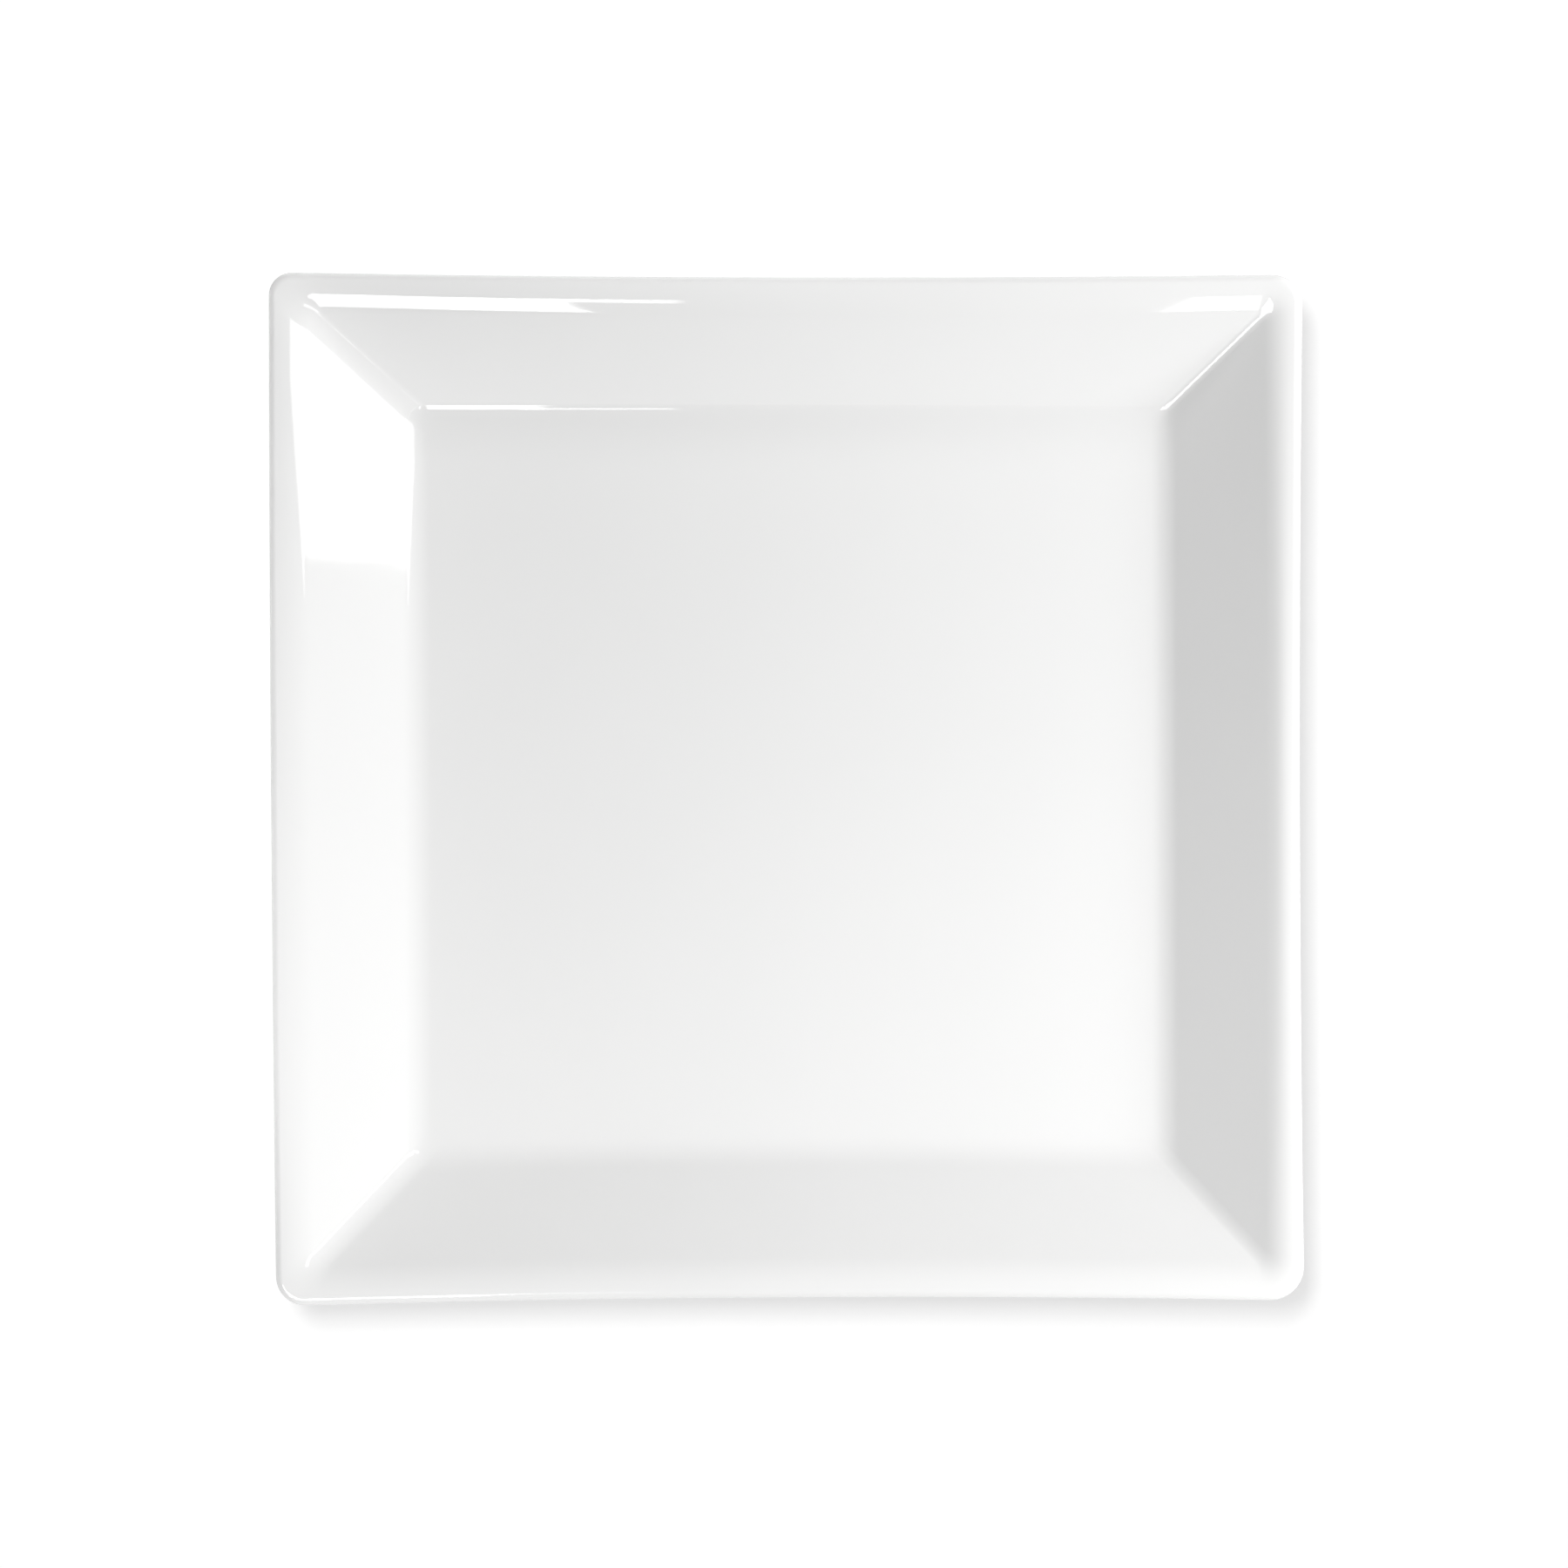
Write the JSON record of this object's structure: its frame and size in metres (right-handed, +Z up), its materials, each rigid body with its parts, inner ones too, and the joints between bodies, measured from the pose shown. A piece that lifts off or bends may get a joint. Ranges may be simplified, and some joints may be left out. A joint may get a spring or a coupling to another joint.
{
  "type": "square dinner plate",
  "caption": "Square white porcelain dinner plate with a flat well, a wide mitred sloping rim, a rolled lip and an unglazed foot ring.",
  "frame": {"origin": "on the surface the plate stands on, under the middle of the plate", "axes": "+Z up, +X along one side of the square (the picture's right), +Y along the next side (the picture's top)"},
  "size_m": [0.267, 0.267, 0.024],
  "materials": {
    "bare_porcelain": "matte",
    "white_glaze": "gloss"
  },
  "bodies": {
    "root": {"porcelain_body": "bare_porcelain", "face_glaze": "white_glaze", "base_glaze": "white_glaze"}
  },
  "joints": []
}
